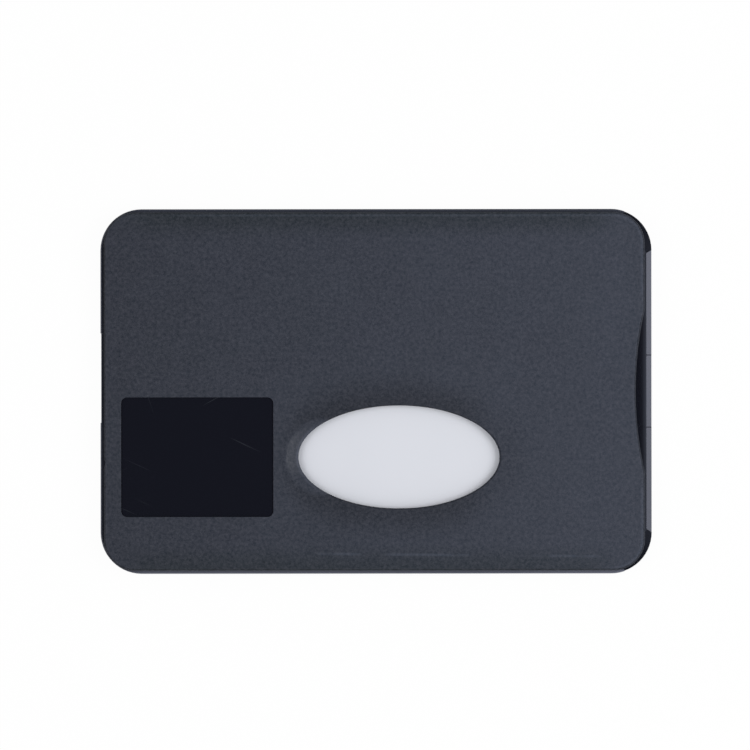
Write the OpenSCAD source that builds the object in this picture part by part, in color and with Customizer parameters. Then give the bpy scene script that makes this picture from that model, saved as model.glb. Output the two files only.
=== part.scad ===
// Rigid card sleeve with shielding foils, lying on its back.
// X runs from the closed end to the mouth, Y across the card, Z from the back to the front face.
// The origin is the middle of the back face.

/* [Card] */
// Length of the card
card_l = 85.6; // [80:0.1:100]
// Width of the card
card_w = 53.98; // [48:0.02:66]
// Thickness of the card
card_t = 0.76; // [0.5:0.02:1.2]
// Corner radius of the card
card_r = 3.18; // [2.4:0.02:4]

/* [Slot] */
// Gap beside each long edge of the card
side_gap = 0.31; // [0.2:0.01:0.6]
// Gap between the card's inner end and the end wall
end_gap = 0.1; // [0.05:0.05:0.6]
// Gap under the card, over the glide shoulders
ride_gap = 0.04; // [0.02:0.01:0.2]
// Gap over the card, under the cover
head_gap = 0.2; // [0.1:0.05:0.8]
// How much wider the slot gets on each side at the mouth
flare = 0.5; // [0.2:0.1:0.7]
// Length of the flare
flare_l = 3; // [2:0.5:8]
// How far the side rails stop short of the cover's mouth edge
rail_setback = 3.3; // [2:0.1:3.8]
// Lead-in under the cover's mouth edge
lead_in = 0.25; // [0.1:0.05:0.4]

/* [Shells] */
// Thickness of the tray's floor
floor_t = 1.1; // [0.9:0.05:2]
// Thickness of the cover
cover_t = 1; // [0.9:0.05:2]
// Width of each side rail
rail_w = 2.45; // [2.2:0.05:5]
// Thickness of the end wall
end_wall_t = 1.6; // [1.6:0.1:5]
// How far the tray's lip reaches past the card
lip_reach = 2.7; // [2.1:0.1:6]
// Corner radius of the tray
corner_r = 6.7; // [6.2:0.1:7.4]
// How much smaller the cover's corner radius is than the tray's
cover_corner_less = 1.65; // [0.8:0.05:1.7]
// Rounding of the tray's back edge
back_edge_r = 0.6; // [0.2:0.05:0.8]
// Rounding of the tray's front edge
ledge_edge_r = 0.25; // [0.05:0.05:0.3]
// How far the tray shows past the cover at the closed end
end_ledge = 0.6; // [0.5:0.05:0.7]
// How far the tray shows past the cover along each long side
side_ledge = 0.55; // [0.45:0.05:0.7]
// How far the tray shows past the cover at the mouth
mouth_step = 1.2; // [0.8:0.1:1.6]
// Rounding of the cover's front edge
cover_edge_r = 0.45; // [0.1:0.05:0.6]
// Rounding of the cover's edge at the seam
seam_edge_r = 0.05; // [0.02:0.01:0.1]

/* [Thumb window] */
// Length of the oval window
window_l = 32.8; // [24:0.2:40]
// Width of the oval window
window_w = 16.8; // [12:0.2:20]
// Window's centre from the mouth
window_from_mouth = 41.3; // [34:0.1:46]
// Centre line of window and recess from the lower long edge
row_from_edge = 19.05; // [18.5:0.05:30]
// Rounding of the window's rim at its two ends
window_rim_r = 0.5; // [0.1:0.05:0.6]
// Radius of the thumb dish at the window's inner end
dish_r = 5.9; // [4.5:0.1:7]
// Depth of the thumb dish
dish_d = 0.1; // [0.05:0.05:0.2]
// How far the thumb dish reaches past the window's end
dish_reach = 2; // [1:0.1:2.4]

/* [Finger notch] */
// Depth of the notch in the cover's mouth edge
notch_d = 1.5; // [0.5:0.05:1.8]
// Radius of the notch's arc
notch_r = 60; // [20:5:90]

/* [Lip] */
// Width of the bevel along the mouth edge
bevel_w = 0.85; // [0.3:0.05:1]
// Drop of the bevel at the mouth edge
bevel_drop = 0.35; // [0.1:0.05:0.45]
// Slant of the bevel's two ends
bevel_run = 0.5; // [0.1:0.1:1]
// Width of the finger relief under the notch
relief_w = 11.8; // [6:0.2:20]
// Depth of the finger relief
relief_d = 0.1; // [0.05:0.05:0.2]
// How far the finger relief reaches in under the cover
relief_l = 4.5; // [3:0.5:10]

/* [Recess] */
// Length of the polished recess
recess_l = 24.85; // [12:0.05:26]
// Width of the polished recess
recess_w = 19.5; // [8:0.1:22]
// Corner radius of the recess
recess_r = 1; // [0.3:0.1:3]
// Depth of the recess
recess_d = 0.2; // [0.1:0.05:0.25]
// Recess from the closed end
recess_from_end = 3.4; // [2.6:0.1:6]

/* [Glide shoulders] */
// Width of the shoulder along each rail
shoulder_w = 1; // [0.8:0.1:1.6]
// Height of the shoulder over the floor
shoulder_h = 0.2; // [0.1:0.05:0.4]
// Length of the ramp at the shoulder's mouth end
shoulder_ramp = 2; // [1:0.5:5]

/* [Weld] */
// Width of the weld rib on the rails
weld_w = 0.4; // [0.3:0.05:0.5]
// Height of the weld rib
weld_h = 0.3; // [0.2:0.05:0.4]
// Weld rib from the cover's outline
weld_inset = 0.4; // [0.35:0.05:0.5]
// Gap round the weld rib in its groove
weld_gap = 0.05; // [0.02:0.01:0.08]

/* [Shields] */
// Thickness of each shield
shield_t = 0.12; // [0.05:0.01:0.15]
// Depth of the pocket beyond the shield's thickness
shield_sink = 0.03; // [0:0.01:0.05]
// Gap between a shield and the wall of its pocket
shield_gap = 0.15; // [0.05:0.05:0.4]
// Bare land between a pocket and the slot's walls
shield_land = 1.6; // [1.5:0.1:4]
// Shield pockets from the mouth
shield_from_mouth = 4.8; // [4.5:0.1:10]
// Bare land between the front pocket and the window
window_land = 1.2; // [0.6:0.1:3]
// Corner radius of the pockets
pocket_r = 2.5; // [1:0.1:4]

/* [Gate marks] */
// Width of the gate relief in the tray's closed end
gate_w = 14.6; // [5:0.1:30]
// Middle of the gate relief above the centre line
gate_y = 2.2; // [0:0.1:6]
// Depth of the gate relief
gate_d = 0.12; // [0.05:0.01:0.3]
// Radius of the gate nick in the cover's closed end
nick_r = 1.1; // [0.6:0.1:2]
// Depth of the gate nick
nick_d = 0.2; // [0.1:0.05:0.25]
// Gate nick below the centre line
nick_y = 11.7; // [2:0.1:16]

/* [Hidden] */
$fn = 96;
// How far a cutter runs past the faces it opens
cut = 1;
// How deep a piece is set into the wall that carries it
root = 0.2;

slot_w = card_w + 2 * side_gap;
slot_h = shoulder_h + ride_gap + card_t + head_gap;
slot_r = card_r + side_gap;
sleeve_l = end_wall_t + end_gap + card_l + lip_reach;
sleeve_w = slot_w + 2 * rail_w;
parting_z = floor_t + slot_h;
sleeve_h = parting_z + cover_t;

closed_x = -sleeve_l / 2;
mouth_x = sleeve_l / 2;
slot_x = closed_x + end_wall_t;
card_x = slot_x + end_gap;
lower_y = -sleeve_w / 2;

cover_l = sleeve_l - end_ledge - mouth_step;
cover_w = sleeve_w - 2 * side_ledge;
cover_r = corner_r - cover_corner_less;
cover_x = closed_x + end_ledge;
cover_mouth_x = cover_x + cover_l;
rail_end_x = cover_mouth_x - rail_setback;

window_x = mouth_x - window_from_mouth;
row_y = lower_y + row_from_edge;
pocket_x = slot_x + shield_land;
pocket_l = mouth_x - shield_from_mouth - pocket_x;
pocket_w = slot_w - 2 * shield_land;
pocket_d = shield_t + shield_sink;

plastic = [0.23, 0.25, 0.29];
foil = [0.78, 0.79, 0.8];
white_card = [0.93, 0.94, 0.96];

// Rectangle with round corners, from x = 0 and centred on Y
module round_rect(l, w, r) {
    translate([r, -w / 2])
        square([l - 2 * r, w]);
    translate([0, r - w / 2])
        square([l, w - 2 * r]);
    for (x = [r, l - r])
        for (y = [r - w / 2, w / 2 - r])
            translate([x, y])
                circle(r);
}

// Half of a plate's section, out to x = half, with its lower and upper edge rounded
module edge_section(half, h, low_r, high_r) {
    square([half - max(low_r, high_r), h]);
    translate([0, low_r])
        square([half, h - low_r - high_r]);
    translate([half - low_r, low_r])
        circle(low_r);
    square([half - low_r, h / 2]);
    translate([half - high_r, h - high_r])
        circle(high_r);
    translate([0, h / 2])
        square([half - high_r, h / 2]);
}

// Plate with round corners and rounded edges, from x = 0 and centred on Y
module soft_plate(l, w, r, h, low_r, high_r) {
    for (x = [r, l - r])
        for (y = [r - w / 2, w / 2 - r])
            translate([x, y, 0])
                rotate_extrude()
                    edge_section(r, h, low_r, high_r);
    for (side = [0, 1])
        translate([l / 2, 0, 0])
            mirror([side, 0, 0])
                rotate([90, 0, 0])
                    linear_extrude(w - 2 * r, center = true)
                        edge_section(l / 2, h, low_r, high_r);
    for (side = [0, 1])
        translate([l / 2, 0, 0])
            mirror([0, side, 0])
                rotate([90, 0, 90])
                    linear_extrude(l - 2 * r, center = true)
                        edge_section(w / 2, h, low_r, high_r);
}

// Outline of the card slot, with its flared mouth
module slot_outline() {
    for (y = [slot_r - slot_w / 2, slot_w / 2 - slot_r])
        translate([slot_x + slot_r, y])
            circle(slot_r);
    translate([slot_x, slot_r - slot_w / 2])
        square([2 * slot_r, slot_w - 2 * slot_r]);
    translate([slot_x + slot_r, -slot_w / 2])
        square([mouth_x - slot_x - slot_r, slot_w]);
    polygon([
        [rail_end_x - flare_l, -slot_w / 2],
        [rail_end_x, -slot_w / 2 - flare],
        [rail_end_x, slot_w / 2 + flare],
        [rail_end_x - flare_l, slot_w / 2]
    ]);
}

// Path of the weld rib on the side rails and the end wall, grown by a gap for its groove
module weld_path(gap) {
    outer = weld_inset - gap;
    inner = weld_inset + weld_w + gap;
    difference() {
        translate([cover_x + outer, 0])
            round_rect(cover_l - 2 * outer, cover_w - 2 * outer, cover_r - outer);
        translate([cover_x + inner, 0])
            round_rect(cover_l - 2 * inner, cover_w - 2 * inner, cover_r - inner);
        translate([rail_end_x - flare_l + gap, -sleeve_w / 2])
            square([cover_l, sleeve_w]);
    }
}

// Oval of the thumb window, grown by a margin
module window_oval(margin) {
    translate([window_x, row_y])
        scale([1, (window_w + 2 * margin) / (window_l + 2 * margin)])
            circle(window_l / 2 + margin);
}

// Outline of a shield, or of its pocket where the gap is 0
module shield_outline(gap) {
    translate([pocket_x + gap, 0])
        round_rect(pocket_l - 2 * gap, pocket_w - 2 * gap, pocket_r - gap);
}

// Cutter for the bevel along the straight part of the mouth edge
module lip_bevel() {
    straight = sleeve_w / 2 - corner_r;
    intersection() {
        rotate([90, 0, 0])
            linear_extrude(sleeve_w, center = true)
                polygon([
                    [mouth_x - bevel_w, floor_t],
                    [mouth_x - bevel_w, floor_t + cut],
                    [mouth_x + cut, floor_t + cut],
                    [mouth_x + cut, floor_t - bevel_drop],
                    [mouth_x, floor_t - bevel_drop]
                ]);
        linear_extrude(sleeve_h)
            polygon([
                [mouth_x - bevel_w, bevel_run - straight],
                [mouth_x, -straight],
                [mouth_x + 2 * cut, -straight],
                [mouth_x + 2 * cut, straight],
                [mouth_x, straight],
                [mouth_x - bevel_w, straight - bevel_run]
            ]);
    }
}

// Cutter for the finger relief, which follows the floor and the bevel
module lip_relief() {
    rotate([90, 0, 0])
        linear_extrude(relief_w, center = true)
            polygon([
                [mouth_x - relief_l, floor_t - relief_d],
                [mouth_x - relief_l, floor_t + cut],
                [mouth_x + cut, floor_t + cut],
                [mouth_x + cut, floor_t - bevel_drop - relief_d],
                [mouth_x, floor_t - bevel_drop - relief_d],
                [mouth_x - bevel_w, floor_t - relief_d]
            ]);
}

// Shoulder along one rail, with a ramp towards the mouth
module glide_shoulder(side) {
    translate([0, side * (slot_w / 2 - shoulder_w / 2 + root / 2), 0])
        rotate([90, 0, 0])
            linear_extrude(shoulder_w + root, center = true)
                polygon([
                    [slot_x - root, floor_t - root],
                    [slot_x - root, floor_t + shoulder_h],
                    [rail_end_x - flare_l - shoulder_ramp, floor_t + shoulder_h],
                    [rail_end_x - flare_l, floor_t],
                    [rail_end_x - flare_l, floor_t - root]
                ]);
}

// Tray: floor, rails and end wall in one moulding
module rear_shell() {
    color(plastic) {
        difference() {
            translate([closed_x, 0, 0])
                soft_plate(sleeve_l, sleeve_w, corner_r, parting_z, back_edge_r, ledge_edge_r);
            translate([0, 0, floor_t])
                linear_extrude(slot_h + cut)
                    slot_outline();
            translate([rail_end_x, lower_y - cut, floor_t])
                cube([sleeve_l, sleeve_w + 2 * cut, slot_h + cut]);
            translate([0, 0, floor_t - pocket_d])
                linear_extrude(cut)
                    shield_outline(0);
            lip_bevel();
            lip_relief();
            translate([closed_x - cut, gate_y - gate_w / 2, -cut])
                cube([cut + gate_d, gate_w, sleeve_h + 2 * cut]);
        }
        for (side = [-1, 1])
            glide_shoulder(side);
        translate([0, 0, parting_z])
            linear_extrude(weld_h)
                weld_path(0);
    }
}

// Foil in the floor's pocket
module rear_shield() {
    color(foil)
        translate([0, 0, floor_t - pocket_d])
            linear_extrude(shield_t)
                shield_outline(shield_gap);
}

// Plain card, pushed fully home
module card() {
    color(white_card)
        translate([card_x, 0, floor_t + shoulder_h + ride_gap])
            linear_extrude(card_t)
                round_rect(card_l, card_w, card_r);
}

// Foil in the cover's pocket, cut out round the thumb window
module front_shield() {
    color(foil)
        translate([0, 0, parting_z + pocket_d - shield_t])
            linear_extrude(shield_t)
                difference() {
                    shield_outline(shield_gap);
                    window_oval(window_land + shield_gap);
                }
}

// Cutter for the thumb window, which widens towards the front face in a rounded rim
module window_cutter() {
    linear_extrude(sleeve_h + cut)
        window_oval(0);
    translate([window_x, row_y, sleeve_h - window_rim_r])
        scale([1, window_w / window_l, 1])
            rotate_extrude()
                translate([window_l / 2 - window_rim_r, 0])
                    difference() {
                        square([2 * window_rim_r, window_rim_r + cut]);
                        translate([2 * window_rim_r, 0])
                            circle(window_rim_r);
                    }
}

// Cutter for the shallow thumb dish, a ball's cap at the window's inner end
module thumb_dish() {
    ball_r = (dish_r * dish_r + dish_d * dish_d) / (2 * dish_d);
    translate([window_x - window_l / 2 - dish_reach + dish_r, row_y, sleeve_h - dish_d])
        rotate_extrude()
            intersection() {
                translate([0, ball_r])
                    circle(ball_r, $fn = 1440);
                square([2 * dish_r, 2 * dish_d]);
            }
}

// Cutter for the lead-in under the cover's straight mouth edge
module cover_lead_in() {
    translate([cover_mouth_x, 0, parting_z])
        rotate([90, 0, 0])
            linear_extrude(cover_w - 2 * cover_r, center = true)
                polygon([
                    [-lead_in, -cut],
                    [-lead_in, 0],
                    [0, lead_in],
                    [cut, lead_in],
                    [cut, -cut]
                ]);
}

// Cutter for the finger notch, with the same edge rounding and lead-in as the cover
module notch_cutter() {
    translate([cover_mouth_x - notch_d + notch_r, 0, parting_z - cut])
        rotate_extrude() {
            square([notch_r, cover_t + 2 * cut]);
            polygon([
                [0, 0],
                [notch_r + lead_in, 0],
                [notch_r + lead_in, cut],
                [notch_r, cut + lead_in],
                [0, cut + lead_in]
            ]);
            translate([0, cut + cover_t - cover_edge_r])
                difference() {
                    square([notch_r + cover_edge_r, cover_edge_r + cut]);
                    translate([notch_r + cover_edge_r, 0])
                        circle(cover_edge_r);
                }
        }
}

// Cover plate with window, notch and polished recess
module front_shell() {
    color(plastic)
        difference() {
            translate([cover_x, 0, parting_z])
                soft_plate(cover_l, cover_w, cover_r, cover_t, seam_edge_r, cover_edge_r);
            window_cutter();
            thumb_dish();
            cover_lead_in();
            notch_cutter();
            translate([closed_x + recess_from_end, row_y, sleeve_h - recess_d])
                linear_extrude(cut)
                    round_rect(recess_l, recess_w, recess_r);
            translate([0, 0, parting_z - cut])
                linear_extrude(cut + pocket_d)
                    difference() {
                        shield_outline(0);
                        window_oval(window_land);
                    }
            translate([0, 0, parting_z - cut])
                linear_extrude(cut + weld_h + weld_gap)
                    weld_path(weld_gap);
            translate([cover_x + nick_d - nick_r, -nick_y, parting_z - cut])
                cylinder(r = nick_r, h = cover_t + 2 * cut);
        }
}

rear_shell();
rear_shield();
card();
front_shield();
front_shell();
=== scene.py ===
import math

import bmesh
import bpy
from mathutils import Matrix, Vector


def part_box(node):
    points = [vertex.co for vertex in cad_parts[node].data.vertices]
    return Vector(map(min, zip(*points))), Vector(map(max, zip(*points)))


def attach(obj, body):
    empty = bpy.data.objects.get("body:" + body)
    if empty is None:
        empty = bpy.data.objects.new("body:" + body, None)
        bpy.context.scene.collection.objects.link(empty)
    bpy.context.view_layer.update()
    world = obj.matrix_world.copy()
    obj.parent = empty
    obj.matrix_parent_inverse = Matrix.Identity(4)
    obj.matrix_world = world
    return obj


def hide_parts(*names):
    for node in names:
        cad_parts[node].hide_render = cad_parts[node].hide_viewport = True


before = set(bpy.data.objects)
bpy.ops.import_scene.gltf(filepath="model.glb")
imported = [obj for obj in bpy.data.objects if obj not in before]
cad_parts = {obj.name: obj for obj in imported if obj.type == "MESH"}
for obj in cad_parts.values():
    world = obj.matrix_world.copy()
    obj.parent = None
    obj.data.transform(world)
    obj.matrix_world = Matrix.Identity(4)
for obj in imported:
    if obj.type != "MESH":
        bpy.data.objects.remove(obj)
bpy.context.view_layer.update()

bpy.context.scene.view_settings.view_transform = "Standard"


# ---- Camera ----
# The picture is taken from straight above through a long lens, so that the sleeve shows
# as flat as on a flatbed. Its middle lies a little under the picture's middle.

picture_px = 750
px_per_m = 6136
camera_distance = 0.8
camera_offset = Vector((-0.0002, 0.00267))
camera_roll_deg = -0.055
sensor_width_mm = 36
nearest_seen = 0.01
farthest_seen = 20

face_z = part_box("front_shell")[1].z
camera_data = bpy.data.cameras.new("from_above")
camera_data.sensor_width = sensor_width_mm
camera_data.lens = sensor_width_mm * camera_distance * px_per_m / picture_px
camera_data.clip_start = nearest_seen
camera_data.clip_end = farthest_seen
camera = bpy.data.objects.new("from_above", camera_data)
camera.location = (camera_offset.x, camera_offset.y, face_z + camera_distance)
camera.rotation_euler.z = math.radians(camera_roll_deg)
bpy.context.collection.objects.link(camera)
bpy.context.scene.camera = camera


# ---- Tray ----
# The rear shell is injection moulded in a tinted, nearly black plastic. Its cavity is
# spark eroded on the back and polished on the floor, the border and the mouth's lip.

tray_polish_colour = (0.0074, 0.0081, 0.013, 1)
tray_grain_colour = (0.0225, 0.0265, 0.0385, 1)
worn_plastic_colour = (0.075, 0.083, 0.1, 1)
# Painted highlight colour for the border's long sides
ledge_highlight_colour = (0.102, 0.107, 0.141, 1)
plastic_sheen = (0.78, 0.82, 1, 1)
polish_roughness = 0.13
satin_roughness = 0.42
grain_roughness = 0.6
grain_pit = 0.00016
grain_depth = 0.000014
plastic_mark_size = 0.0006
tray_corner_r = 0.0067
relief_half_y = 0.0059

# Where the finishes, painted highlight and painted light of the tray change: a mask fades between the two
# lengths of a pair
back_grain_z = (0.0003, 0.0006)
wall_inset = (0.00002, 0.00012)
ledge_z = (0.0019, 0.0021)
closed_ledge_x = (-0.0442, -0.0412)
long_ledge_y = (0.02895, 0.02915)
long_ledge_start_x = (-0.0432, -0.0377)
long_ledge_end_x = (0.0404, 0.0405)
ledge_highlight_x = (0.015, 0.036)
lip_corner_x = (0.0405, 0.0406)
lip_dull_and_light_x = (0.0426, 0.04415)
corner_dull_and_light_y = (0.0235, 0.0275)
bevel_x = (0.04412, 0.04415)
bevel_end_y = (0.02275, 0.02305)
bevel_shine_y = (-0.02, 0.02)
relief_edge_width = (0.00003, 0.00015)

# How much of a finish or of painted light shows: a pair goes from the first share to the second
wall_grain = 0.35
upper_ledge_satin = 0.95
closed_ledge_satin = 0.3
upper_ledge_highlight = 0.08
lower_ledge_highlight = (0.67, 1.0)
lip_dull_and_light_power = 2.4
corner_dull_and_light = (0.4, 0.12)
bevel_roughness_y = (0.3, 0.165)
relief_edge_roughness = 0.6
wall_roughness = 0.12
tray_scratch_tint = 0.25
tray_scratch_bump = -0.15
tray_smudge_roughness = 0.05
draw_mark_scale = 9000
draw_mark_stretch = (1, 1, 25)
draw_mark_bump = 0.12


def plain_material(name):
    material = bpy.data.materials.new(name)
    material.use_nodes = True
    tree = material.node_tree
    shader = next(n for n in tree.nodes if n.type == "BSDF_PRINCIPLED")
    return material, tree, shader


def feed(tree, socket, value):
    if isinstance(value, bpy.types.NodeSocket):
        tree.links.new(value, socket)
    else:
        socket.default_value = value


def calc(tree, operation, *values):
    node = tree.nodes.new("ShaderNodeMath")
    node.operation = operation
    for socket, value in zip(node.inputs, values):
        feed(tree, socket, value)
    return node.outputs[0]


def product(tree, first, *others):
    for other in others:
        first = calc(tree, "MULTIPLY", first, other)
    return first


def with_share(tree, base, value, share):
    """The base and a share of the value on top."""
    return calc(tree, "MULTIPLY_ADD", value, share, base)


def away_from(tree, value, middle):
    """How far a value is from a middle one, to either side."""
    return calc(tree, "ABSOLUTE", calc(tree, "SUBTRACT", value, middle))


def vector_calc(tree, operation, *values):
    node = tree.nodes.new("ShaderNodeVectorMath")
    node.operation = operation
    for socket, value in zip(node.inputs, values):
        feed(tree, socket, value)
    return node.outputs[1 if operation == "LENGTH" else 0]


def scaled(tree, vector, factor):
    node = tree.nodes.new("ShaderNodeVectorMath")
    node.operation = "SCALE"
    feed(tree, node.inputs[0], vector)
    feed(tree, node.inputs["Scale"], factor)
    return node.outputs[0]


def rise(tree, value, low, high, way="SMOOTHSTEP"):
    """0 at low, 1 at high and smooth between them."""
    node = tree.nodes.new("ShaderNodeMapRange")
    node.interpolation_type = way
    feed(tree, node.inputs["Value"], value)
    node.inputs["From Min"].default_value = low
    node.inputs["From Max"].default_value = high
    return node.outputs["Result"]


def fall(tree, value, low, high):
    """1 at low, 0 at high and smooth between them."""
    return calc(tree, "SUBTRACT", 1.0, rise(tree, value, low, high))


def blend_values(tree, share, low, high):
    node = tree.nodes.new("ShaderNodeMix")
    for name, value in (("Factor", share), ("A", low), ("B", high)):
        feed(tree, node.inputs[name], value)
    return node.outputs["Result"]


def blend_colours(tree, share, low, high):
    node = tree.nodes.new("ShaderNodeMix")
    node.data_type = "RGBA"
    feed(tree, node.inputs[0], share)
    feed(tree, node.inputs[6], low)
    feed(tree, node.inputs[7], high)
    return node.outputs[2]


def noise(tree, point, scale, detail=2.0, stretch=None, turn=0.0):
    if stretch:
        mapping = tree.nodes.new("ShaderNodeMapping")
        mapping.vector_type = "TEXTURE"
        mapping.inputs["Scale"].default_value = stretch
        mapping.inputs["Rotation"].default_value = (0, 0, turn)
        feed(tree, mapping.inputs["Vector"], point)
        point = mapping.outputs[0]
    node = tree.nodes.new("ShaderNodeTexNoise")
    feed(tree, node.inputs["Vector"], point)
    feed(tree, node.inputs["Scale"], scale)
    node.inputs["Detail"].default_value = detail
    return node.outputs["Fac"]


def object_point(tree):
    return tree.nodes.new("ShaderNodeTexCoord").outputs["Object"]


def parts_of(tree, point):
    node = tree.nodes.new("ShaderNodeSeparateXYZ")
    feed(tree, node.inputs[0], point)
    return node.outputs


def start_group(name, inputs, outputs):
    tree = bpy.data.node_groups.new(name, "ShaderNodeTree")
    for label, kind in inputs:
        tree.interface.new_socket(label, in_out="INPUT", socket_type=kind)
    for label in outputs:
        tree.interface.new_socket(label, in_out="OUTPUT", socket_type=NUMBER)
    source = tree.nodes.new("NodeGroupInput").outputs
    target = tree.nodes.new("NodeGroupOutput").inputs
    return tree, source, target


def use_group(tree, group, **values):
    node = tree.nodes.new("ShaderNodeGroup")
    node.node_tree = group
    for label, value in values.items():
        feed(tree, node.inputs[label.replace("_", " ").title()], value)
    return node.outputs


def bumped(tree, shader, height, depth):
    node = tree.nodes.new("ShaderNodeBump")
    node.inputs["Distance"].default_value = depth
    tree.links.new(height, node.inputs["Height"])
    tree.links.new(node.outputs["Normal"], shader.inputs["Normal"])


VECTOR = "NodeSocketVector"
NUMBER = "NodeSocketFloat"

# How deep a point lies inside a rectangle with round corners, seen from above
inset_group, given, result = start_group(
    "inset_from_outline",
    (("Point", VECTOR), ("Middle", VECTOR), ("Half Size", VECTOR), ("Corner", NUMBER)),
    ("Depth",),
)
away = vector_calc(inset_group, "SUBTRACT", given["Point"], given["Middle"])
away = vector_calc(inset_group, "ABSOLUTE", away)
away = parts_of(inset_group, vector_calc(inset_group, "SUBTRACT", away, given["Half Size"]))
along = calc(inset_group, "ADD", away["X"], given["Corner"])
across = calc(inset_group, "ADD", away["Y"], given["Corner"])
past_x = calc(inset_group, "MAXIMUM", along, 0.0)
past_y = calc(inset_group, "MAXIMUM", across, 0.0)
round_part = calc(inset_group, "MULTIPLY_ADD", past_x, past_x, product(inset_group, past_y, past_y))
round_part = calc(inset_group, "SQRT", round_part)
flat_part = calc(inset_group, "MINIMUM", calc(inset_group, "MAXIMUM", along, across), 0.0)
outside = calc(inset_group, "ADD", round_part, flat_part)
inset_group.links.new(calc(inset_group, "SUBTRACT", given["Corner"], outside), result["Depth"])

# The pitted grain that a spark-eroded mould leaves: Height for bump, Tone for colour
specks_per_pit = 1.0
pits_per_pit = 0.7
clumps_per_pit = 0.3
pit_height = 0.6
clump_height = 0.5
clump_tone = 0.55

grain_group, given, result = start_group(
    "spark_grain", (("Point", VECTOR), ("Pit", NUMBER)), ("Height", "Tone")
)
specks = noise(grain_group, given["Point"], calc(grain_group, "DIVIDE", specks_per_pit, given["Pit"]), 1.0)
clumps = noise(grain_group, given["Point"], calc(grain_group, "DIVIDE", clumps_per_pit, given["Pit"]))
pits = grain_group.nodes.new("ShaderNodeTexVoronoi")
pits.feature = "SMOOTH_F1"
feed(grain_group, pits.inputs["Vector"], given["Point"])
feed(grain_group, pits.inputs["Scale"], calc(grain_group, "DIVIDE", pits_per_pit, given["Pit"]))
height = with_share(grain_group, specks, pits.outputs["Distance"], pit_height)
height = with_share(grain_group, height, clumps, clump_height)
grain_group.links.new(height, result["Height"])
tone = with_share(grain_group, product(grain_group, clumps, clump_tone), specks, 1 - clump_tone)
grain_group.links.new(tone, result["Tone"])

# Hairline scratches in a few directions, and faint smudges, both from handling
hairline_ways = ((0.5, 0.11), (1.9, 0.37), (2.7, 0.71))
hairline_stretch = (22, 0.5, 1)
hairline_cut = (0.78, 0.86)
patches_per_mark = 0.06
patch_cut = (0.52, 0.64)
smudges_per_mark = 0.03
smudge_cut = (0.45, 0.7)

wear_group, given, result = start_group(
    "handling_marks", (("Point", VECTOR), ("Size", NUMBER)), ("Scratches", "Smudges")
)
hairline_scale = calc(wear_group, "DIVIDE", 1.0, given["Size"])
hairlines = 0.0
for turn, offset in hairline_ways:
    moved = vector_calc(wear_group, "ADD", given["Point"], (offset, offset, 0))
    streak = noise(wear_group, moved, hairline_scale, 0.0, hairline_stretch, turn)
    hairlines = calc(wear_group, "MAXIMUM", rise(wear_group, streak, *hairline_cut), hairlines)
patches = noise(wear_group, given["Point"], calc(wear_group, "DIVIDE", patches_per_mark, given["Size"]), 1.0)
hairlines = product(wear_group, hairlines, rise(wear_group, patches, *patch_cut))
wear_group.links.new(hairlines, result["Scratches"])
smudges = noise(wear_group, given["Point"], calc(wear_group, "DIVIDE", smudges_per_mark, given["Size"]), 3.0)
wear_group.links.new(rise(wear_group, smudges, *smudge_cut), result["Smudges"])

# The tray is the CAD node's own form, merged, with the ends of its glide shoulders laid back
# into the outer wall where they come through it at the two closed corners
merge_distance = 1e-7
least_nib = 0.00001
wall_normal_z = 0.5

tray_low, tray_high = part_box("rear_shell")
tray_middle = (tray_low + tray_high) / 2
tray_half = (tray_high - tray_low) / 2

tray_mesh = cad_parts["rear_shell"].data.copy()
own_normal = tray_mesh.attributes.new("own_normal", "FLOAT_VECTOR", "CORNER")
for mark, corner in zip(own_normal.data, tray_mesh.corner_normals):
    mark.vector = corner.vector


def past_corner(point):
    """The way outward from the middle of the nearest round corner, seen from above."""
    off = point - tray_middle
    past_x = max(abs(off.x) - tray_half.x + tray_corner_r, 0.0)
    past_y = max(abs(off.y) - tray_half.y + tray_corner_r, 0.0)
    return Vector((math.copysign(past_x, off.x), math.copysign(past_y, off.y), 0))


form = bmesh.new()
form.from_mesh(tray_mesh)
bmesh.ops.remove_doubles(form, verts=form.verts, dist=merge_distance)
normal_layer = form.loops.layers.float_vector["own_normal"]
for vertex in form.verts:
    outward = past_corner(vertex.co)
    if outward.length < tray_corner_r + least_nib:
        continue
    vertex.co -= outward - outward.normalized() * tray_corner_r
    for face in vertex.link_faces:
        for corner in face.loops:
            if abs(corner[normal_layer].z) < wall_normal_z:
                corner[normal_layer] = past_corner(corner.vert.co).normalized()
form.to_mesh(tray_mesh)
form.free()
tray_mesh.normals_split_custom_set([tuple(m.vector) for m in tray_mesh.attributes["own_normal"].data])
tray_mesh.attributes.remove(tray_mesh.attributes["own_normal"])
tray = bpy.data.objects.new("tray", tray_mesh)
bpy.context.collection.objects.link(tray)
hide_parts("rear_shell")
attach(tray, "sleeve")

tray_plastic, tree, shader = plain_material("tray_plastic")
point = object_point(tree)
x, y, z = parts_of(tree, point)
off_middle = calc(tree, "ABSOLUTE", y)
grain = use_group(tree, grain_group, point=point, pit=grain_pit)
marks = use_group(tree, wear_group, point=point, size=plastic_mark_size)
draw_marks = noise(tree, point, draw_mark_scale, 1.0, draw_mark_stretch)
grain_mask = fall(tree, z, *back_grain_z)
edge_depth = use_group(
    tree, inset_group, point=point, middle=tray_middle, half_size=tray_half, corner=tray_corner_r
)["Depth"]
wall_mask = fall(tree, edge_depth, *wall_inset)
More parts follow.
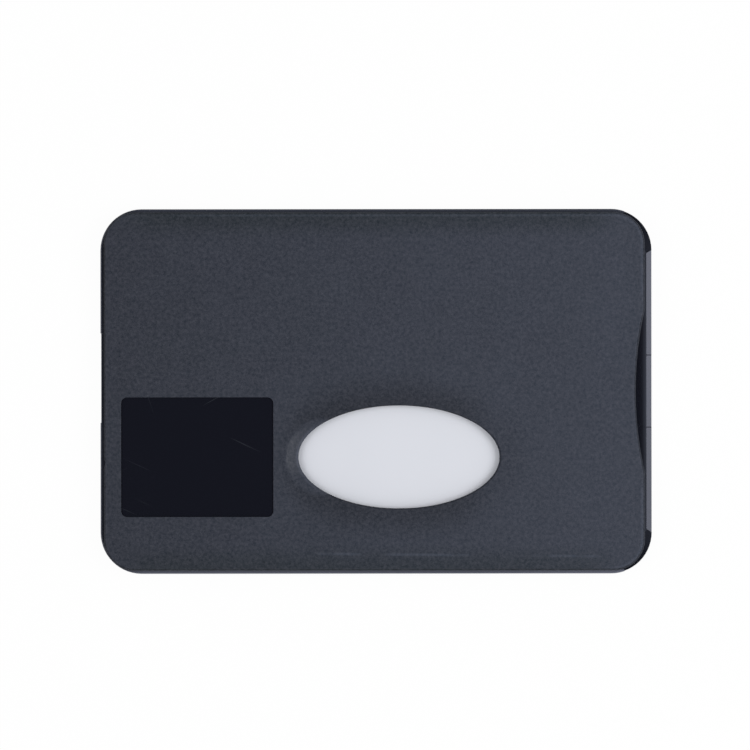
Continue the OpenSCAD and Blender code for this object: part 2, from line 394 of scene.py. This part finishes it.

# The border is polished at the closed end and satin along the long sides, the lower more so. The long sides
# also carry a painted highlight, faint on the upper one and strong on the lower one, growing towards the
# mouth
on_ledge = rise(tree, z, *ledge_z)
lower_side = calc(tree, "LESS_THAN", y, 0.0)
long_ledge = product(
    tree, rise(tree, off_middle, *long_ledge_y), fall(tree, x, *long_ledge_end_x),
    rise(tree, x, *long_ledge_start_x), on_ledge,
)
closed_ledge = product(tree, fall(tree, x, *closed_ledge_x), on_ledge)
satin = product(tree, long_ledge, blend_values(tree, lower_side, upper_ledge_satin, 1.0))
satin = with_share(tree, satin, closed_ledge, closed_ledge_satin)
ledge_highlight = blend_values(tree, rise(tree, x, *ledge_highlight_x), *lower_ledge_highlight)
ledge_highlight = product(tree, long_ledge, blend_values(tree, lower_side, upper_ledge_highlight, ledge_highlight))

# The lip is dulled towards its bevel and in its corners, where cards are pushed in. Its colour is also
# painted lighter there, painted light for the floor that the cover's edge shades less
on_bevel = product(tree, rise(tree, x, *bevel_x), fall(tree, off_middle, *bevel_end_y))
lip_dull_and_light = calc(tree, "POWER", rise(tree, x, *lip_dull_and_light_x, way="LINEAR"), lip_dull_and_light_power)
lip_dull_and_light = product(tree, lip_dull_and_light, calc(tree, "SUBTRACT", 1.0, on_bevel))
lip_corner = product(tree, rise(tree, off_middle, *bevel_end_y), rise(tree, x, *lip_corner_x))
in_corner = blend_values(tree, rise(tree, off_middle, *corner_dull_and_light_y), *corner_dull_and_light)
lip_dull_and_light = blend_values(tree, lip_corner, lip_dull_and_light, in_corner)
relief_edge = fall(tree, away_from(tree, off_middle, relief_half_y), *relief_edge_width)
bevel_roughness = blend_values(tree, rise(tree, y, *bevel_shine_y), *bevel_roughness_y)
bevel_roughness = blend_values(tree, relief_edge, bevel_roughness, relief_edge_roughness)

grained = calc(tree, "MAXIMUM", grain_mask, satin)
tint = blend_colours(tree, product(tree, wall_mask, wall_grain), tray_polish_colour, tray_grain_colour)
# Painted light: the lip's floor lighter away from the cover's edge, along with its duller finish
tint = blend_colours(tree, lip_dull_and_light, tint, tray_grain_colour)
tint = blend_colours(tree, grained, tint, tray_grain_colour)
# Painted highlight on the long sides of the border
tint = blend_colours(tree, ledge_highlight, tint, ledge_highlight_colour)
tint = blend_colours(tree, product(tree, marks["Scratches"], tray_scratch_tint), tint, worn_plastic_colour)
feed(tree, shader.inputs["Base Color"], tint)
roughness = blend_values(tree, grain_mask, polish_roughness, grain_roughness)
roughness = blend_values(tree, satin, roughness, satin_roughness)
roughness = blend_values(tree, lip_dull_and_light, roughness, grain_roughness)
roughness = blend_values(tree, on_bevel, roughness, bevel_roughness)
roughness = with_share(tree, roughness, wall_mask, wall_roughness)
roughness = with_share(tree, roughness, marks["Smudges"], tray_smudge_roughness)
feed(tree, shader.inputs["Roughness"], roughness)
shader.inputs["Specular Tint"].default_value = plastic_sheen
bump = product(tree, grain["Height"], grained)
bump = with_share(tree, bump, product(tree, draw_marks, wall_mask), draw_mark_bump)
bump = with_share(tree, bump, marks["Scratches"], tray_scratch_bump)
bumped(tree, shader, bump, grain_depth)
tray_mesh.materials.clear()
tray_mesh.materials.append(tray_plastic)


# ---- Shields ----
# Two sheets of rolled aluminium foil on a clear film, bonded into pockets on both
# sides of the slot. The rear one shows through the window once the card is out.

foil_colour = (0.76, 0.765, 0.775, 1)
foil_dark = (0.6, 0.605, 0.62, 1)
foil_mark_size = 0.0009
foil_roughness = 0.2
foil_smudge_roughness = 0.08
foil_depth = 0.00006
rolling_scale = 2600
rolling_stretch = (50, 1, 1)
rolling_tones = (0.3, 0.7)
rolling_roughness = 0.18
rolling_bump = 0.1
crease_scale = 260
film_weight = 0.5
film_roughness = 0.12

shield_foil, tree, shader = plain_material("shield_foil")
point = object_point(tree)
rolling = noise(tree, point, rolling_scale, 2.0, rolling_stretch)
creases = noise(tree, point, crease_scale, 3.0)
marks = use_group(tree, wear_group, point=point, size=foil_mark_size)
tint = blend_colours(tree, rise(tree, rolling, *rolling_tones), foil_dark, foil_colour)
feed(tree, shader.inputs["Base Color"], tint)
shader.inputs["Metallic"].default_value = 1.0
roughness = with_share(tree, foil_roughness, rolling, rolling_roughness)
roughness = with_share(tree, roughness, marks["Smudges"], foil_smudge_roughness)
feed(tree, shader.inputs["Roughness"], roughness)
shader.inputs["Coat Weight"].default_value = film_weight
shader.inputs["Coat Roughness"].default_value = film_roughness
bumped(tree, shader, with_share(tree, creases, rolling, rolling_bump), foil_depth)
for node_name in ("rear_shield", "front_shield"):
    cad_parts[node_name].material_slots[0].material = shield_foil


# ---- Card ----
# A plain white card of the bank size: a white core between two clear overlays, hot
# laminated and punched out, so its faces are smooth and its edge shows the layers.

card_white = (0.705, 0.722, 0.778, 1)
card_cloud = (0.695, 0.712, 0.768, 1)
card_edge_line = (0.52, 0.53, 0.57, 1)
card_corner_r = 0.00318
card_edge_inset = (0.00001, 0.00006)
overlay_t = 0.00008
layer_line_width = (0.00001, 0.00003)
cloud_scale = 90
cloud_tones = (0.2, 0.8)
card_mark_size = 0.0012
card_roughness = 0.3
card_edge_roughness = 0.25
card_smudge_roughness = 0.06
card_scratch_bump = -0.2
peel_scale = 1400
peel_roughness = 0.1
peel_depth = 0.000004

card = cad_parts["card"]
card_low, card_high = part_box("card")
card_middle = (card_low + card_high) / 2
card_half = (card_high - card_low) / 2

card_plastic, tree, shader = plain_material("card_plastic")
point = object_point(tree)
z = parts_of(tree, point)["Z"]
orange_peel = noise(tree, point, peel_scale)
marks = use_group(tree, wear_group, point=point, size=card_mark_size)
edge_depth = use_group(
    tree, inset_group, point=point, middle=card_middle, half_size=card_half, corner=card_corner_r
)["Depth"]
edge_mask = fall(tree, edge_depth, *card_edge_inset)
from_top = calc(tree, "SUBTRACT", card_high.z, z)
from_bottom = calc(tree, "SUBTRACT", z, card_low.z)
layer_line = away_from(tree, calc(tree, "MINIMUM", from_top, from_bottom), overlay_t)
layer_mask = product(tree, edge_mask, fall(tree, layer_line, *layer_line_width))
cloud = rise(tree, noise(tree, point, cloud_scale, 3.0), *cloud_tones)
tint = blend_colours(tree, cloud, card_cloud, card_white)
feed(tree, shader.inputs["Base Color"], blend_colours(tree, layer_mask, tint, card_edge_line))
roughness = with_share(tree, card_roughness, orange_peel, peel_roughness)
roughness = with_share(tree, roughness, marks["Smudges"], card_smudge_roughness)
roughness = with_share(tree, roughness, edge_mask, card_edge_roughness)
feed(tree, shader.inputs["Roughness"], roughness)
bumped(tree, shader, with_share(tree, orange_peel, marks["Scratches"], card_scratch_bump), peel_depth)
card.material_slots[0].material = card_plastic


# ---- Cover ----
# The front shell is the same plastic. Its face is spark eroded all over but for the recess at the lower
# left, which is polished. Its rounded outer edges are grained, rougher and painted darker, painted shade.

cover_polish_colour = (0.0066, 0.0072, 0.012, 1)
cover_grain_colour = (0.0241, 0.0282, 0.0394)
grain_fleck = (0.909, 0.874, 1.024)
# Lighter colour for the dish: thumb polish and painted highlight
thumb_polish_and_highlight = (0.0185, 0.0188, 0.0192)
# Green cast of the painted shade along the border
border_shade_tint = (0.0004, 0.0026, 0.0012)
cover_corner_r = 0.00505
recess_middle = Vector((-0.029175, -0.0107, 0))
recess_half = Vector((0.012425, 0.00975, 1))
recess_corner_r = 0.001
window_middle = Vector((0.0037, -0.0107, 0))
window_half = Vector((0.0164, 0.0084, 1))
dish_middle = Vector((-0.0088, -0.0107, 0))
dish_r = 0.0061
thumb_line_y = -0.0099
rail_line_y = -0.02656
rail_line_slope = -0.0095

# Where the finishes, painted shade and painted highlights of the cover change, as pairs of lengths again
recess_wall = (-0.00004, 0.00002)
border_reach = (0.0006, 0.0048)
border_start_x = (-0.043, -0.036)
border_mouth_x = (0.034, 0.041)
border_lower_y = (-0.01, 0.01)
window_reach = (0.0003, 0.0062)
window_left_x = (-0.0165, -0.0115)
window_right_x = (0.013, 0.02)
window_rim = (0.0002, 0.0008)
window_tip_gap = (0.0003, 0.0006)
window_tip_x = (-0.0115, -0.0085)
dish_outside = (dish_r - 0.0004, dish_r + 0.0006)
dish_round_off = (dish_r, dish_r + 0.0002)
dish_inside = (dish_r - 0.0004, dish_r)
dish_rim = (dish_r - 0.0016, dish_r - 0.0006)
thumb_reach_y = (0.0016, 0.0046)
rounding_z = (0.00322, 0.003295)
top_rounding_y = (0.0275, 0.0285)
closed_rounding_x = (-0.0442, -0.0435)
edge_line_depth = 0.00052
edge_line_width = (0.00006, 0.00026)
edge_line_start_x = (-0.036, -0.028)
lit_mouth_x = (0.036, 0.041)
lit_mouth_y = (0.0145, 0.017)
lit_top_y = (0.0265, 0.028)
rail_line_width = (0.00005, 0.00032)
rail_line_start_x = (-0.0103, -0.0083)
rail_line_end_x = (0.035, 0.037)

# How much of each finish, painted shade and painted highlight shows: a pair goes from the first share to the
# second
border_at_mouth = (1.0, 0.15)
border_at_bottom = (0.8, 1.0)
window_at_left = (0.15, 1.0)
window_at_right = (1.0, 0.35)
face_shade_strength = -0.46
streak_scale = 3600
streak_stretch = (1, 3, 1)
streak_turn = 0.35
streak_contrast = 2.2
streak_base = -0.1
dish_rim_polish_and_highlight = (0.7, 1.15)
thumb_polish_and_highlight_y = (0.05, 1.15)
rounding_shade = -0.5
window_rounding_shade = -0.3
top_rounding_shade = -0.25
closed_rounding_shade = -0.7
# Painted light: how much lighter the face grows towards the mouth
toward_mouth_shade = 6.3
rail_line_shade = 0.6
rail_line_scale = 210
rail_line_cut = (0.42, 0.62)
# Strength of the painted highlight line along the cover's edge
edge_highlight_strength = 0.4
# Strength of the painted highlight on the window's left tip rim
window_tip_highlight_strength = 0.5
mottle_scale = 160
mottle_shade = 0.24
fleck_strength = 0.094
face_shade_roughness = -0.05
rounding_roughness = 0.25
toward_mouth_roughness = 0.5
cover_smudge_roughness = 0.04
cover_scratch_tint = (0.22, 0.06)
cover_scratch_bump = -0.4

# How far a point lies outside an oval, seen from above
oval_group, given, result = start_group(
    "gap_to_oval", (("Point", VECTOR), ("Middle", VECTOR), ("Half Size", VECTOR)), ("Gap",)
)
flat_point = vector_calc(oval_group, "SUBTRACT", given["Point"], given["Middle"])
flat_point = vector_calc(oval_group, "MULTIPLY", flat_point, (1, 1, 0))
unit = vector_calc(oval_group, "DIVIDE", flat_point, given["Half Size"])
reach = vector_calc(oval_group, "LENGTH", unit)
slope = vector_calc(oval_group, "LENGTH", vector_calc(oval_group, "DIVIDE", unit, given["Half Size"]))
gap = product(oval_group, reach, calc(oval_group, "SUBTRACT", reach, 1.0))
oval_group.links.new(calc(oval_group, "DIVIDE", gap, slope), result["Gap"])

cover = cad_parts["front_shell"]
cover_low, cover_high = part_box("front_shell")
cover_middle = (cover_low + cover_high) / 2
cover_half = (cover_high - cover_low) / 2

cover_plastic, tree, shader = plain_material("cover_plastic")
point = object_point(tree)
x, y, z = parts_of(tree, point)
off_middle = calc(tree, "ABSOLUTE", y)
grain = use_group(tree, grain_group, point=point, pit=grain_pit)
marks = use_group(tree, wear_group, point=point, size=plastic_mark_size)
recess_depth = use_group(
    tree, inset_group, point=point, middle=recess_middle, half_size=recess_half, corner=recess_corner_r
)["Depth"]
grain_mask = fall(tree, recess_depth, *recess_wall)
edge_depth = use_group(
    tree, inset_group, point=point, middle=cover_middle, half_size=cover_half, corner=cover_corner_r
)["Depth"]
window_gap = use_group(
    tree, oval_group, point=point, middle=window_middle, half_size=window_half
)["Gap"]
from_dish = vector_calc(tree, "SUBTRACT", point, dish_middle)
from_dish = vector_calc(tree, "LENGTH", vector_calc(tree, "MULTIPLY", from_dish, (1, 1, 0)))

# The face is painted darker along the border and round the window, painted shade, and its roughness is a
# little lower there
border_painted_shade = product(
    tree, fall(tree, edge_depth, *border_reach), rise(tree, x, *border_start_x),
    blend_values(tree, rise(tree, x, *border_mouth_x), *border_at_mouth),
    blend_values(tree, rise(tree, y, *border_lower_y), *border_at_bottom),
)
window_painted_shade = product(
    tree, fall(tree, window_gap, *window_reach), rise(tree, from_dish, *dish_outside),
    blend_values(tree, rise(tree, x, *window_right_x), *window_at_right),
    blend_values(tree, rise(tree, x, *window_left_x), *window_at_left),
)
painted_face_shade = calc(tree, "MAXIMUM", border_painted_shade, window_painted_shade)

# Thumbs have polished the dish in streaks, most along its upper rim, and the dish is painted lighter there:
# partly this polish, partly a painted highlight along the rim
streaks = noise(tree, point, streak_scale, 2.0, streak_stretch, streak_turn)
off_thumb = away_from(tree, y, thumb_line_y)
dish_polish_and_highlight = product(
    tree, fall(tree, from_dish, *dish_inside), with_share(tree, streak_base, streaks, streak_contrast),
    blend_values(tree, rise(tree, from_dish, *dish_rim), *dish_rim_polish_and_highlight),
    blend_values(tree, fall(tree, off_thumb, *thumb_reach_y), *thumb_polish_and_highlight_y),
)

# The rail's weld shows through as a faint line near the lower long side
rail_way = with_share(tree, rail_line_y, x, rail_line_slope)
rail_line = product(
    tree, fall(tree, away_from(tree, y, rail_way), *rail_line_width),
    rise(tree, noise(tree, point, rail_line_scale), *rail_line_cut),
    rise(tree, x, *rail_line_start_x), fall(tree, x, *rail_line_end_x),
)

# The rounded edges are painted darker, painted shade, with a painted highlight line along their inner side
# at the top and the mouth
rounded = product(tree, fall(tree, z, *rounding_z), rise(tree, from_dish, *dish_round_off), grain_mask)
rounded_shade = blend_values(
    tree, fall(tree, window_gap, *window_rim), rounding_shade, window_rounding_shade
)
rounded_shade = blend_values(tree, rise(tree, y, *top_rounding_y), rounded_shade, top_rounding_shade)
rounded_shade = blend_values(tree, fall(tree, x, *closed_rounding_x), rounded_shade, closed_rounding_shade)
lit_edges = product(tree, rise(tree, x, *lit_mouth_x), rise(tree, off_middle, *lit_mouth_y))
lit_edges = calc(tree, "MAXIMUM", lit_edges, rise(tree, y, *lit_top_y))
edge_highlight = fall(tree, away_from(tree, edge_depth, edge_line_depth), *edge_line_width)
edge_highlight = product(tree, edge_highlight, lit_edges, rise(tree, x, *edge_line_start_x))
# Painted highlight on the rim at the window's left tip
window_tip_highlight = product(tree, fall(tree, window_gap, *window_tip_gap), fall(tree, x, *window_tip_x))
mottle = calc(tree, "SUBTRACT", noise(tree, point, mottle_scale), 0.5)

# Painted shade along the border and round the window
shade = with_share(tree, 1.0, painted_face_shade, face_shade_strength)
# Painted shade on the rounded edges, set side by side
shade = product(tree, shade, with_share(tree, 1.0, rounded, rounded_shade))
# Painted light: the face painted lighter towards the mouth
shade = product(tree, shade, with_share(tree, 1.0, x, toward_mouth_shade))
shade = with_share(tree, shade, rail_line, rail_line_shade)
# Painted highlight line along the inner side of the rounded edge at the top and the mouth
shade = with_share(tree, shade, edge_highlight, edge_highlight_strength)
shade = with_share(tree, shade, window_tip_highlight, window_tip_highlight_strength)
shade = with_share(tree, shade, mottle, mottle_shade)
flecks = product(tree, calc(tree, "SUBTRACT", grain["Tone"], 0.5), fleck_strength)
grain_tint = scaled(tree, cover_grain_colour, shade)
# Adds the grain flecks, the dish's polish and painted highlight, and the green cast of the painted border
# shade
for colour, strength in ((grain_fleck, flecks), (thumb_polish_and_highlight, dish_polish_and_highlight), (border_shade_tint, border_painted_shade)):
    grain_tint = vector_calc(tree, "ADD", grain_tint, scaled(tree, colour, strength))
tint = blend_colours(tree, grain_mask, cover_polish_colour, grain_tint)
scratches = product(tree, marks["Scratches"], blend_values(tree, grain_mask, *cover_scratch_tint))
feed(tree, shader.inputs["Base Color"], blend_colours(tree, scratches, tint, worn_plastic_colour))
roughness = blend_values(tree, grain_mask, polish_roughness, grain_roughness)
roughness = with_share(tree, roughness, painted_face_shade, face_shade_roughness)
roughness = with_share(tree, roughness, rounded, rounding_roughness)
roughness = with_share(tree, roughness, x, toward_mouth_roughness)
roughness = with_share(tree, roughness, marks["Smudges"], cover_smudge_roughness)
feed(tree, shader.inputs["Roughness"], roughness)
shader.inputs["Specular Tint"].default_value = plastic_sheen
bump = product(tree, grain["Height"], grain_mask)
bumped(tree, shader, with_share(tree, bump, scratches, cover_scratch_bump), grain_depth)
cover.material_slots[0].material = cover_plastic


# ---- Table and lamps ----
# The sleeve lies on a white table inside a light tent that is dark overhead, where the
# camera looks in. A long softbox stands on each side, and the right one is stronger.

table_half = 2.5
table_drop = 0.00003
table_white = (0.88, 0.88, 0.885, 1)
table_roughness = 0.7
table_gloss = 0.1
table_glow = 0.96
softbox_distance = 0.5
tent_tones = ((0.0, 0.9), (0.3, 0.6), (0.5, 0.75), (0.85, 0.6), (0.975, 0.035))
tent_back_shade = -0.25

form = bmesh.new()
bmesh.ops.create_grid(form, x_segments=1, y_segments=1, size=table_half)
bmesh.ops.translate(form, verts=form.verts, vec=(0, 0, -table_drop))
table_mesh = bpy.data.meshes.new("table")
form.to_mesh(table_mesh)
form.free()
table = bpy.data.objects.new("table", table_mesh)
bpy.context.collection.objects.link(table)

table_paint, tree, shader = plain_material("table_paint")
shader.inputs["Base Color"].default_value = table_white
shader.inputs["Roughness"].default_value = table_roughness
shader.inputs["Specular IOR Level"].default_value = table_gloss
glow = tree.nodes.new("ShaderNodeEmission")
rays = tree.nodes.new("ShaderNodeLightPath").outputs
seen = calc(tree, "MAXIMUM", rays["Is Camera Ray"], rays["Is Glossy Ray"])
seen = calc(tree, "MAXIMUM", seen, rays["Is Transmission Ray"])
lit = tree.nodes.new("ShaderNodeMixShader")
feed(tree, lit.inputs[0], product(tree, seen, table_glow))
tree.links.new(shader.outputs[0], lit.inputs[1])
tree.links.new(glow.outputs[0], lit.inputs[2])
# From below the table is clear, so that the sleeve's back can be seen, and it holds back no light
behind = tree.nodes.new("ShaderNodeNewGeometry").outputs["Backfacing"]
gone = tree.nodes.new("ShaderNodeBsdfTransparent")
one_sided = tree.nodes.new("ShaderNodeMixShader")
feed(tree, one_sided.inputs[0], calc(tree, "MAXIMUM", behind, rays["Is Shadow Ray"]))
tree.links.new(lit.outputs[0], one_sided.inputs[1])
tree.links.new(gone.outputs[0], one_sided.inputs[2])
output = next(n for n in tree.nodes if n.type == "OUTPUT_MATERIAL")
tree.links.new(one_sided.outputs[0], output.inputs["Surface"])
table_mesh.materials.append(table_paint)


def softbox(name, side, elevation_deg, size, power):
    data = bpy.data.lights.new(name, "AREA")
    data.shape = "RECTANGLE"
    data.size, data.size_y = size
    data.energy = power
    lamp = bpy.data.objects.new(name, data)
    angle = math.radians(elevation_deg)
    lamp.location = Vector((side * math.cos(angle), 0, math.sin(angle))) * softbox_distance
    lamp.rotation_euler = (-lamp.location).to_track_quat("-Z", "Y").to_euler()
    lamp.visible_camera = False
    bpy.context.collection.objects.link(lamp)


softbox("softbox_right", side=1, elevation_deg=41, size=(0.38, 0.28), power=1.23)
softbox("softbox_left", side=-1, elevation_deg=46, size=(0.36, 0.26), power=0.68)

tent = bpy.data.worlds.new("light_tent")
tent.use_nodes = True
tree = tent.node_tree
direction = parts_of(tree, tree.nodes.new("ShaderNodeTexCoord").outputs["Generated"])
ramp = tree.nodes.new("ShaderNodeValToRGB")
while len(ramp.color_ramp.elements) < len(tent_tones):
    ramp.color_ramp.elements.new(0.5)
for stop, (position, tone) in zip(ramp.color_ramp.elements, tent_tones):
    stop.position = position
    stop.color = (tone, tone, tone, 1)
tree.links.new(direction["Z"], ramp.inputs[0])
background = next(n for n in tree.nodes if n.type == "BACKGROUND")
tree.links.new(ramp.outputs[0], background.inputs["Color"])
feed(tree, background.inputs["Strength"], with_share(tree, 1.0, direction["Y"], tent_back_shade))
bpy.context.scene.world = tent
